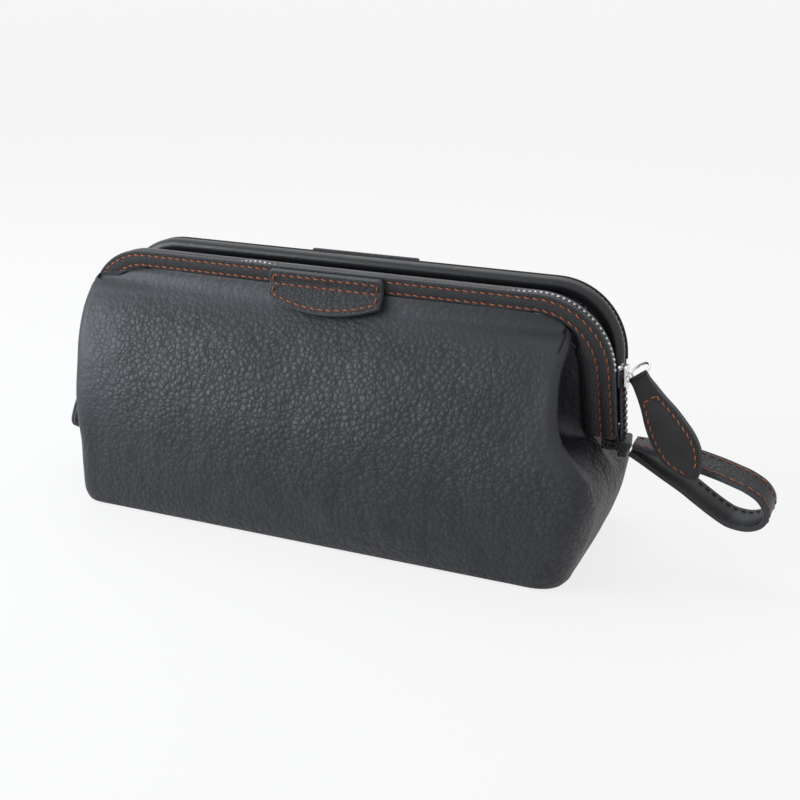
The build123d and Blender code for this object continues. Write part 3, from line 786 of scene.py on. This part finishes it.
def band_profile(leg, above):
    """Cross-section of the rim band: reach and distance out. leg is 1 on a leg and 0 along the top."""
    low = -4.9 - 7.4 * leg
    front = [
        (above, 0.15),
        (above + 0.05, 0.9),
        (above - 0.1, 1.6),
        (above - 0.5, 1.8),
        (above - 1.1, 1.83),
        (min(2.3, above - 1.6), 1.62),
        (min(1.2, above - 2.4), 1.92),
        (-0.2, 2.02),
        (-1.6, 1.9),
        (-2.7, 1.62),
        (-3.3 - 0.6 * leg, 1.65 + 0.35 * leg),
        (-3.8 - 2.0 * leg, 1.65 + 0.65 * leg),
        (-4.2 - 3.4 * leg, 1.6 + 0.7 * leg),
        (-4.6 - 6.1 * leg, 1.4 + 0.1 * leg),
        (low + 0.1 + 0.4 * leg, 1.0 - 1.4 * leg),
        (low, 0.5 - 3.2 * leg),
    ]
    back = [
        (low + 0.2, 0.1 - 4.2 * leg),
        (low + 0.6 + 0.7 * leg, 0.02 - 3.0 * leg),
        (low + 1.0 + 1.4 * leg, 0.02 - 0.9 * leg),
        (-3.4 - 3.0 * leg, 0.02),
        (-2.0, 0.02),
        (2.0, 0.02),
        (above - 0.6, 0.02),
    ]
    return front + back


def rim_band(name, side, materials):
    rows = []
    for x, up, nx, nup, leg in rim_stations():
        row = []
        for reach, out in band_profile(leg, BAND_ABOVE[side]):
            row.append(on_bow(side, x + reach * nx, up + reach * nup, BAND_FACE + out))
        rows.append(row)
    points, faces = grid(rows, ring=True)
    piece = put(name, points, faces, [materials["band_leather"], materials["edge"]])
    wide = len(rows[0])
    for n, face in enumerate(piece.data.polygons):
        on_cut = n % wide in (0, 1, wide - 1) or n >= len(faces) - 2
        face.material_index = 1 if on_cut else 0
    outwards(piece)
    return soften(piece)


def rim_seams(name, side, materials):
    """The two rows of stitches round the rim, left out where the opening tab covers them."""
    spots = []
    for reach in STITCH_ROWS:
        line = [(x + reach * nx, up + reach * nup, 0) for x, up, nx, nup, _ in rim_stations()]
        for place, along in walk(line, STITCH_PITCH, 1.6):
            if TAB_GAP[0] < place.x < TAB_GAP[1] and place.y > BOW_HEIGHT - 8:
                continue
            direction, out = bow_turn(side, (along.x, along.y))
            spots.append((on_bow(side, place.x, place.y, BAND_FACE + STITCH_LIFT), direction, out))
    return stitch_mesh(name, spots, materials["orange_thread"])


def zip_tape(name, side, materials):
    front = [(4.2, 0.0), (4.2, 0.5), (2.0, 0.52), (-2.0, 0.52)]
    back = [(-6.9, 0.5), (-7.0, 0.0), (-2.0, 0.0), (2.0, 0.0)]
    rows = []
    for x, up, nx, nup, _ in rim_stations():
        if up >= ZIP_END_HEIGHT:
            rows.append([on_bow(side, x + r * nx, up + r * nup, TAPE_FACE + out) for r, out in front + back])
    points, faces = grid(rows, ring=True)
    return outwards(put(name, points, faces, [materials["zip_tape"]]))


def tooth_shape():
    """One zip tooth with rounded edges: x along the zip, y towards the tip, z outwards."""
    bm = bmesh.new()
    bmesh.ops.create_cube(bm, size=1.0)
    bmesh.ops.scale(bm, vec=(1.35, 2.5, 1.5), verts=bm.verts)
    for v in bm.verts:
        if v.co.y > 0:
            v.co.x *= 0.72
            v.co.z *= 0.8
    bmesh.ops.bevel(bm, geom=bm.edges[:] + bm.verts[:], offset=0.26, segments=2, profile=0.6, affect="EDGES")
    points = [v.co.copy() for v in bm.verts]
    faces = [[v.index for v in f.verts] for f in bm.faces]
    bm.free()
    return points, faces


def copies(name, shape, frames, material):
    """Copies of one small shape at many places. A frame is a matrix."""
    points, faces = [], []
    for frame_matrix in frames:
        start = len(points)
        points += [frame_matrix @ p for p in shape[0]]
        faces += [[start + i for i in f] for f in shape[1]]
    return outwards(put(name, points, faces, [material]))


def axes(place, x, y, z):
    """Matrix of a place and three directions."""
    matrix = Matrix((x, y, z)).transposed().to_4x4()
    matrix.translation = place
    return matrix


def zip_teeth(name, side, materials):
    """Metal teeth along the upper edge of the tape."""
    frames = []
    line = []
    for x, up, nx, nup, _ in rim_stations():
        corner = ease(x, 75.0, 108.0) if side < 0 else 0.0
        bare = math.exp(-(((x + 38.0) / 9.0) ** 2)) if side < 0 else 0.0
        reach = TOOTH_TIP[side] - 1.25 + 1.45 * corner + 1.2 * bare
        line.append((x + reach * nx, up + reach * nup, 0))
    for place, along in walk(line, TOOTH_PITCH, 2.0):
        if place.y < ZIP_END_HEIGHT + 2.0:
            continue
        direction, out = bow_turn(side, (along.x, along.y))
        tip = bow_turn(side, (-along.y, along.x))[0]
        frames.append(axes(on_bow(side, place.x, place.y, TAPE_FACE - 0.83), direction, tip, out))
    return copies(name, tooth_shape(), frames, materials["zip_teeth"])


# Tabs, pull and straps


def inset_line(outline, inset):
    """Closed outline moved inwards, for the seam along an edge. The outline runs anticlockwise."""
    moved = []
    count = len(outline)
    for n in range(count):
        before, here, after = (Vector(outline[(n + k) % count]) for k in (-1, 0, 1))
        a, b = (here - before).normalized(), (after - here).normalized()
        normal = Vector((-(a.y + b.y), a.x + b.x)).normalized()
        moved.append(here + normal * (inset / max(0.6, normal.dot(Vector((-a.y, a.x))))))
    return moved


def leather_piece(name, outline, inner, bend, thickness, materials):
    """Flat piece cut to an outline, laid in space by bend(x, y, lift), with a softly rounded cut edge.

    inner is a line inside the outline, towards which the piece is filled.
    """
    near = inset_line(outline, 0.35)
    levels = [(near, 0.0), (outline, 0.1), (outline, 0.5), (outline, 0.9), (near, 1.0)]
    rows = [[bend(p[0], p[1], lift * thickness) for p in line] for line, lift in levels]
    points, faces = grid(rows, ring=True)
    faces = faces[:-2]
    kinds = [1] * len(faces)
    count = len(outline)
    for top in (False, True):
        last = (len(levels) - 1) * count if top else 0
        for share in (0.25, 0.5, 0.75, 1.0):
            first = len(points)
            for a, b in zip(near, inner):
                p = Vector(a).lerp(Vector(b), share)
                points.append(bend(p.x, p.y, thickness if top else 0.0))
            for i in range(count):
                k = (i + 1) % count
                quad = (last + i, last + k, first + k, first + i)
                faces.append(quad if top else quad[::-1])
                kinds.append(0)
            last = first
    piece = put(name, points, faces, materials)
    piece.data.polygons.foreach_set("material_index", kinds)
    return outwards(piece, merge=True)


def tab_outline():
    """Opening tab laid flat, with y up from its lowest point. Its lower edge is curved."""
    half, sag = 28.4, 6.2
    line = []
    for n in range(33):
        x = -half + 2 * half * n / 32
        line.append((x, sag * (x / half) ** 2))
    for n in range(1, 8):
        line.append((half + 0.35 * n / 8, sag + (TAB_LENGTH - sag) * n / 8))
    for n in range(33):
        line.append((half - 0.6 - 2 * (half - 0.6) * n / 32, TAB_LENGTH))
    for n in range(1, 8):
        line.append((-half - 0.35 * (8 - n) / 8, TAB_LENGTH - (TAB_LENGTH - sag) * n / 8))
    return line


def tab_bend(side, lift_from):
    """Lays a tab on the rim: its upper part flat on the band, its lower part standing off."""
    top = BOW_HEIGHT + (3.5 if side < 0 else 5.0)
    flat = 5.6
    flare = math.radians(37.0)
    knee = 4.0

    def bend(x, y, lift):
        down = TAB_LENGTH - y
        run = max(0.0, down - flat)
        turn = flare * min(1.0, run / knee)
        if run < knee:
            out, fall = run * math.sin(turn / 2), run * math.cos(turn / 2)
        else:
            out = knee * math.sin(flare / 2) + (run - knee) * math.sin(flare)
            fall = knee * math.cos(flare / 2) + (run - knee) * math.cos(flare)
        up = top - min(down, flat) - fall
        curl = 0.9 * (x / 28.0) ** 2 * run / 12.0
        high = lift_from + lift
        off = BAND_FACE + 2.0 + out + curl
        return on_bow(side, x, up + high * math.sin(turn), off + high * math.cos(turn))

    return bend


def on_sheet(bend, line, lift, pitch=STITCH_PITCH, flip=False):
    """Stitch spots along a line on a bent sheet."""
    spots = []
    for place, along in walk([(x, y, 0) for x, y in line], pitch, pitch * 0.45):
        here = bend(place.x, place.y, lift)
        ahead = (bend(place.x + along.x * 0.5, place.y + along.y * 0.5, lift) - here).normalized()
        out = bend(place.x, place.y, lift + 1.0) - here
        spots.append((here, ahead, (-out if flip else out).normalized()))
    return spots


def opening_tab(side, materials):
    """Two layers of leather and their seams."""
    outline = tab_outline()
    inner = [(x * 0.8, 11.0) for x, y in outline]
    name = "front" if side < 0 else "rear"
    pair = [materials["tab_leather"], materials["edge"]]
    bend = tab_bend(side, 1.4)
    under = leather_piece(f"{name}_tab_under", outline, inner, tab_bend(side, 0.0), 1.35, pair)
    upper = leather_piece(f"{name}_tab_upper", outline, inner, bend, 1.45, pair)
    seam = inset_line(outline, 2.2)
    lower, right, top, left = seam[0:33], seam[32:41], seam[40:73], seam[72:] + seam[:1]
    second = [(p[0], top[0][1] - 5.0) for p in top]
    spots = []
    for line in (lower, right, left, top, second):
        spots += on_sheet(bend, line, 1.45)
    return under, upper, stitch_mesh(f"{name}_tab_stitches", spots, materials["orange_thread"])


def leaf_frame():
    """Place of the pull: where it folds round the ring, and its directions."""
    down = Vector((0.60, -0.17, -0.78)).normalized()
    neck = Vector((0.79, 0, 0.61))
    neck = (neck - down * neck.dot(down)).normalized()
    forward = Vector((0.1, -0.95, -0.3))
    forward = (forward - neck * forward.dot(neck)).normalized()
    bail = SLIDER_GAP / 2 - 0.1 + SLIDER_GAP / 2 + SLIDER_PLATE + RING_WIRE + RING_ROOM
    out = Vector((math.cos(SPLAY), 0, math.sin(SPLAY)))
    up = Vector((-math.sin(SPLAY), 0, math.cos(SPLAY)))
    start = Vector((HINGE_HALF_SPAN + TAIL_FACE, 0, HINGE_HEIGHT))
    start += up * (SLIDER_REST + SLIDER_LENGTH / 2) + out * bail
    place = start + (neck + forward) * RING_RADIUS
    return place, neck, -down, down.cross(neck)


def leaf_half(y):
    """Half width of the pull at a distance below its fold."""
    return between(LEAF_WIDTHS, y)[0]


def leaf_outline():
    right = [(leaf_half(LEAF_LENGTH * n / 40), -LEAF_LENGTH * n / 40) for n in range(41)]
    left = [(-x, y) for x, y in right]
    return left + right[::-1]


def pull_leaf(materials):
    """Two layers of leather with a seam on each face, and the fold that holds the ring."""
    place, across, up, face = leaf_frame()

    def bend_of(lift_from):
        def bend(x, y, lift):
            high = (lift_from + lift) * (0.75 + 0.25 * ease(-y, 0.0, 7.0))
            high += LEAF_BOW * ease(-y, 4.0, 30.0)
            curl = 0.5 * math.cos(x / 9.0)
            return place + across * x + up * y + face * (high + curl - 0.5)

        return bend

    outline = leaf_outline()
    inner = [(0.0, min(-6.0, max(-44.0, y))) for x, y in outline]
    pair = [materials["leaf_leather"], materials["edge"]]
    front_bend, back_bend = bend_of(0.04), bend_of(-1.64)
    front = leather_piece("pull_leaf_front", outline, inner, front_bend, 1.6, pair)
    back = leather_piece("pull_leaf_back", outline, inner, back_bend, 1.6, pair)
    seam = inset_line(outline, 2.3)
    left, right = ([p for p in half if -46.6 < p[1] < -9.5] for half in (seam[:41], seam[41:]))
    spots = []
    for line in (left, right, [left[0], right[-1]]):
        spots += on_sheet(front_bend, line, 1.62, 3.3)
        spots += on_sheet(back_bend, line, -0.02, 3.3, flip=True)
    stitches = stitch_mesh("pull_leaf_stitches", spots, materials["orange_thread"], 2.5, 0.33)
    return front, back, stitches, leaf_fold(place, across, up, face, materials)


def leaf_fold(place, across, up, face, materials):
    """The strip that goes from the pull's back over the ring to its front."""
    rows = []
    for n in range(13):
        turn = math.pi * n / 12
        row = []
        for thick in (1.75, 0.72):
            x = face * math.cos(turn) * thick + up * (math.sin(turn) * thick)
            row.append([place + x + across * w for w in (-4.2, -2.0, 2.0, 4.2)])
        rows.append(row[0] + row[1][::-1])
    points, faces = grid(rows, ring=True)
    return outwards(put("pull_leaf_fold", points, faces, [materials["leaf_leather"]]))


def strap_frame():
    """Where the wrist strap is sewn on, and its directions outwards and up."""
    droop = math.radians(20.0)
    x = HINGE_HALF_SPAN + COVER_OUTER + 0.1 + ANCHOR_LENGTH + STRAP_GAP
    out = Vector((math.cos(droop), 0, -math.sin(droop)))
    up = Vector((math.sin(droop), 0, math.cos(droop)))
    return Vector((x, 0, ANCHOR_FOOT + ANCHOR_HEIGHT / 2)), out, up


def on_strap(x, y, wide):
    """Point of the strap: along it, above its middle and across it. The loop tilts towards the front."""
    origin, out, up = strap_frame()
    tilt = math.radians(STRAP_TILT) * ease(x, 0.0, 26.0)
    y, wide = y * math.cos(tilt) + wide * math.sin(tilt), wide * math.cos(tilt) - y * math.sin(tilt)
    return origin + out * x + up * y + Vector((0, wide, 0))


def strap_line():
    """Middle line of the wrist strap in its own plane, from one fixed end round the bend to the other."""
    bend, far = 13.6, 51.5
    line = [(0.0, 1.6), (9.0, 4.6), (22.4, 9.6), (36.0, 12.5), (46.0, 13.5), (far, bend)]
    line += [(far + bend * math.sin(a), bend * math.cos(a)) for a in (0.5, 1.0, 1.5, 2.0, 2.5, 3.0)]
    line += [(49.0, -13.2), (42.8, -11.6), (35.0, -9.0), (27.0, -6.2), (14.0, -3.2), (0.0, -1.6)]
    return curve_through([(x, y, 0) for x, y in line], 6)


def strap_layer(name, low, high, materials):
    """One layer of the strap: a band with rounded edges that runs along the strap's line."""
    middle = (low + high) / 2
    ring = [(-5.7, high), (-3.0, high + 0.05), (0, high + 0.07), (3.0, high + 0.05), (5.7, high)]
    ring += [(6.0, middle), (5.7, low), (0.0, low), (-5.7, low), (-6.0, middle)]
    cut_sides = (4, 5, 8, 9)  # sides of the ring that are cut edges
    line = strap_line()
    rows = []
    for n, p in enumerate(line):
        step = (line[min(len(line) - 1, n + 1)] - line[max(0, n - 1)]).normalized()
        normal = Vector((-step.y, step.x, 0))
        spots = [(p + normal * lift, wide) for wide, lift in ring]
        rows.append([on_strap(q.x, q.y, wide) for q, wide in spots])
    points, faces = grid(rows, ring=True)
    piece = put(name, points, faces, materials)
    for n, face in enumerate(piece.data.polygons):
        face.material_index = int(n % len(ring) in cut_sides or n >= len(faces) - 2)
    return outwards(piece)


def strap_seam(name, lift, thread, turn):
    """Rows of stitches along both edges of the strap, on its outer or inner face."""
    line = strap_line()
    spots = []
    for place, along in walk(line, STITCH_PITCH, 2.5):
        normal = Vector((-along.y, along.x, 0))
        q = place + normal * lift
        ahead, above = q + along * 0.5, q + normal
        for wide in (-4.1, 4.1):
            here = on_strap(q.x, q.y, wide)
            step = (on_strap(ahead.x, ahead.y, wide) - here).normalized()
            face = (on_strap(above.x, above.y, wide) - here).normalized()
            spots.append((here, step, face * turn))
    return stitch_mesh(name, spots, thread, 3.0, 0.29)


def end_tab(materials):
    """Tongue of two layers on the left end."""
    x = -HINGE_HALF_SPAN - COVER_OUTER - 0.1 - ANCHOR_LENGTH - END_TAB_GAP
    origin = Vector((x, 0, ANCHOR_FOOT + ANCHOR_HEIGHT / 2))
    first = math.radians(45.0)
    rate = math.radians(35.0) / 43.0

    def bend_of(lift_from):
        def bend(u, v, lift):
            droop = first + rate * u
            run = (math.sin(droop) - math.sin(first)) / rate
            fall = (math.cos(first) - math.cos(droop)) / rate
            high = lift_from + lift
            return origin + Vector((-run - high * math.sin(droop), v, -fall + high * math.cos(droop)))

        return bend

    half, straight = 8.0, 35.0
    outline = [(0.2, half - 2 * half * n / 12) for n in range(13)]
    outline += [(straight * n / 12, -half) for n in range(1, 12)]
    for n in range(17):
        a = -math.pi / 2 + math.pi * n / 16
        outline.append((straight + half * math.cos(a), half * math.sin(a)))
    outline += [(straight * (12 - n) / 12, half) for n in range(1, 12)]
    inner = [(min(straight, max(6.0, u)), 0.0) for u, v in outline]
    pair = [materials["strap_leather"], materials["edge"]]
    outer = leather_piece("left_tab_outer_leather", outline, inner, bend_of(0.02), 1.42, pair)
    under = leather_piece("left_tab_inner_leather", outline, inner, bend_of(-1.46), 1.42, pair)
    seam = inset_line(outline, 2.2)
    spots = on_sheet(bend_of(0.02), seam[12:], 1.44)
    spots += on_sheet(bend_of(-1.46), seam[12:], -0.02, flip=True)
    stitches = stitch_mesh("left_tab_stitches", spots, materials["orange_thread"])
    return outer, under, stitches


# Base


def rounded_box(length, width, corner, count=10):
    """Points round a rectangle with rounded corners, anticlockwise."""
    line = []
    for k, (sx, sy) in enumerate([(1, 1), (-1, 1), (-1, -1), (1, -1)]):
        for n in range(count):
            a = math.pi / 2 * (k + n / (count - 1))
            centre = (sx * (length / 2 - corner), sy * (width / 2 - corner))
            line.append((centre[0] + corner * math.cos(a), centre[1] + corner * math.sin(a)))
    return line


def base_panel(materials):
    """The leather under the bag, with its edge rounded and turned up to the walls, and its seam."""
    levels = [(9.0, 1.75), (5.5, 1.78), (4.3, 1.7), (3.7, 1.3), (3.6, 0.9)]
    levels += [(3.9, 0.35), (4.8, 0.05), (7.0, 0.02), (10.0, 0.02), (20.0, 0.02)]
    rows = []
    for inset, height in levels:
        corner = max(2.0, BASE_CORNER - inset)
        outline = rounded_box(BASE_LENGTH - 2 * inset, BASE_WIDTH - 2 * inset, corner)
        rows.append([(x, y, height) for x, y in outline])
    points, faces = grid(rows, ring=True)
    panel = outwards(put("base_leather", points, faces, [materials["base_leather"]]))
    inset = 8.0
    line = rounded_box(BASE_LENGTH - 2 * inset, BASE_WIDTH - 2 * inset, BASE_CORNER - inset)
    line = [(x, y, 0.42) for x, y in [*line, line[0]]]
    down = Vector((0, 0, -1))
    spots = [(place, along, down) for place, along in walk(line, STITCH_PITCH)]
    return panel, stitch_mesh("base_stitches", spots, materials["black_thread"], radius=0.3)


# Studio


def make_camera():
    """Camera where the photograph was taken from."""
    camera = bpy.data.objects.new("camera", bpy.data.cameras.new("camera"))
    bpy.context.scene.collection.objects.link(camera)
    camera.data.lens = 54.5
    camera.data.sensor_width = 36.0
    a, e = math.radians(22.7), math.radians(20.8)
    back = Vector((math.sin(a) * math.cos(e), -math.cos(a) * math.cos(e), math.sin(e)))
    camera.location = (0.2404, -0.5057, 0.2708)
    camera.rotation_mode = "QUATERNION"
    camera.rotation_quaternion = (-back).to_track_quat("-Z", "Y")
    bpy.context.scene.camera = camera


def make_lamp(name, place, target, size, power, colour=(1, 1, 1)):
    lamp = bpy.data.lights.new(name, "AREA")
    lamp.shape = "RECTANGLE"
    lamp.size, lamp.size_y = size
    lamp.energy = power
    lamp.color = colour
    holder = bpy.data.objects.new(name, lamp)
    bpy.context.scene.collection.objects.link(holder)
    holder.location = place
    holder.rotation_mode = "QUATERNION"
    holder.rotation_quaternion = (Vector(target) - Vector(place)).to_track_quat("-Z", "Y")


def seen_share(tree):
    """1 for rays from the camera, and for those by which metal and glass show the background."""
    path = add(tree, "ShaderNodeLightPath")
    share = path.outputs["Is Camera Ray"]
    for kind in ("Is Glossy Ray", "Is Transmission Ray"):
        share = reckon(tree, "ShaderNodeMath", "MAXIMUM", share, path.outputs[kind])
    return share


def pale_surface(name, seen, lit):
    """The floor: what the camera and reflections see is lifted towards white, and the shadow stays."""
    material, tree, shader = new_material(name)
    mottle = noise_of(tree, place_of(tree), 6.0, 2.0)
    colour = colours(tree, mottle, [(0.0, (lit * 0.99,) * 3), (1.0, (lit,) * 3)])
    glow = spread(tree, seen_share(tree), 0.0, 1.0, 0.0, seen)
    feed(tree, shader, Base_Color=colour, Roughness=0.9, Specular_IOR_Level=0.1)
    feed(tree, shader, Emission_Strength=glow, Emission_Color=(1, 1, 1, 1))
    return material


def make_studio():
    marks = [metres * 1000 for metres in (-40, -10, -2, 0, 2, 10, 40)]
    points, faces = grid([[(x, y, 0) for x in marks] for y in marks])
    floor = put("floor", points, faces, [pale_surface("studio_floor", 0.81, 0.19)])
    floor.location.z = -0.0002
    make_lamp("key", (-0.76, -0.56, 0.44), (-0.03, 0, 0.06), (0.7, 0.6), 7.6, (0.88, 0.94, 1.0))
    make_lamp("fill", (0.9, -0.35, 0.5), (0, 0, 0.05), (0.5, 0.5), 0.15, (0.95, 0.97, 1.0))
    make_lamp("top", (0.0, 0.35, 0.9), (0, 0, 0.08), (0.9, 0.5), 1.7, (0.9, 0.95, 1.0))
    sun = bpy.data.lights.new("sun", "SUN")
    sun.angle = math.radians(60.0)
    sun.energy = 0.5
    holder = bpy.data.objects.new("sun", sun)
    bpy.context.scene.collection.objects.link(holder)
    holder.rotation_euler = (math.radians(-22.0), math.radians(-28.0), 0)
    world = bpy.data.worlds.new("studio")
    bpy.context.scene.world = world
    world.use_nodes = True
    tree = world.node_tree
    background = tree.nodes["Background"]
    share = seen_share(tree)
    tint = colours(tree, share, [(0.0, (0.92, 0.95, 1.0)), (1.0, (0.94, 0.94, 0.94))])
    feed(tree, background, Color=tint, Strength=spread(tree, share, 0.0, 1.0, 0.25, 1.0))
    bpy.context.scene.view_settings.view_transform = "Standard"


# Putting the pieces on the frame


def carry(piece, body, slot, *nodes):
    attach(piece, body)
    if nodes:
        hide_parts(*nodes)


def dress_nodes(frame, materials):
    """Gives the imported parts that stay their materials."""
    plan = {
        "board": ["base_board"],
        "lining_cloth": ["base_lining"],
        "frame_steel": ["front_bow", "rear_bow"],
        "smooth_leather": ["front_bow_sleeve", "rear_bow_sleeve"],
        "strap_leather": ["right_hinge_cover", "left_hinge_cover", "right_anchor", "left_anchor"],
        "rivet_steel": ["right_hinge_rivet", "left_hinge_rivet"],
        "zip_tape": ["right_zip_tail_tape", "left_zip_tail_tape"],
        "dark_teeth": ["zip_tail_teeth"],
        "bright_metal": ["slider", "pull_ring"],
    }
    for material, names in plan.items():
        for name in names:
            mesh = frame["nodes"][name].data
            mesh.materials.clear()
            mesh.materials.append(materials[material])


def make_walls(materials):
    for name, side in SIDES.items():
        for kind, maker, slot in (("panel", wall, "grained_leather"), ("lining", lining, "lining_cloth")):
            piece = maker(f"{name}_{kind}_soft", side, materials)
            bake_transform(piece)
            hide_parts(f"{name}_{kind}")


def make_rims(materials):
    for name, side in SIDES.items():
        body = f"{name}_frame"
        carry(rim_band(f"{name}_band_leather", side, materials), body, "smooth_leather", f"{name}_rim_band")
        carry(rim_seams(f"{name}_band_stitches", side, materials), body, "grained_leather")
        carry(zip_tape(f"{name}_tape_weave", side, materials), body, "zip_tape", f"{name}_zip_tape")
        carry(zip_teeth(f"{name}_metal_teeth", side, materials), body, "zip_teeth", f"{name}_zip_teeth")
        under, upper, stitches = opening_tab(side, materials)
        carry(under, body, "grained_leather", f"{name}_tab")
        carry(upper, body, "grained_leather", f"{name}_tab")
        carry(stitches, body, "grained_leather")


def make_pull(materials):
    front, back, stitches, fold = pull_leaf(materials)
    carry(front, "pull", "smooth_leather", "pull_leaf")
    carry(back, "pull", "smooth_leather", "pull_leaf")
    carry(stitches, "pull", "smooth_leather")
    carry(fold, "pull", "smooth_leather", "pull_leaf")


def make_straps(materials):
    outer = strap_layer("strap_outer_leather", 0.02, 1.28, [materials["strap_leather"], materials["edge"]])
    inner = strap_layer("strap_inner_leather", -1.28, -0.02, [materials["strap_back"], materials["edge"]])
    carry(outer, "strap", "grained_leather", "strap_outer")
    carry(inner, "strap", "smooth_leather", "strap_lining")
    carry(strap_seam("strap_outer_stitches", 1.24, materials["orange_thread"], 1), "strap", "grained_leather")
    carry(strap_seam("strap_inner_stitches", -1.22, materials["black_thread"], -1), "strap", "smooth_leather")
    outer, under, stitches = end_tab(materials)
    carry(outer, "end_tab", "grained_leather", "left_tab_outer")
    carry(under, "end_tab", "grained_leather", "left_tab_inner")
    carry(stitches, "end_tab", "grained_leather")


def make_base(materials):
    panel, stitches = base_panel(materials)
    carry(panel, "bag", "grained_leather", "base_panel")
    carry(stitches, "bag", "grained_leather")


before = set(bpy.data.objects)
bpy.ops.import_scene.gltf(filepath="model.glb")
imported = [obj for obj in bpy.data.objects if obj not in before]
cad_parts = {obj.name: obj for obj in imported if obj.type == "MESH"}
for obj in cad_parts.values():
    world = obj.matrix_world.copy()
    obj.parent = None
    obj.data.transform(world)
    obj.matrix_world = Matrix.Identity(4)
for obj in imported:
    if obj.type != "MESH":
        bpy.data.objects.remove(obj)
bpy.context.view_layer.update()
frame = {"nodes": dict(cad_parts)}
make_camera()
make_studio()
materials = make_materials()
dress_nodes(frame, materials)
make_walls(materials)
make_rims(materials)
make_pull(materials)
make_straps(materials)
make_base(materials)
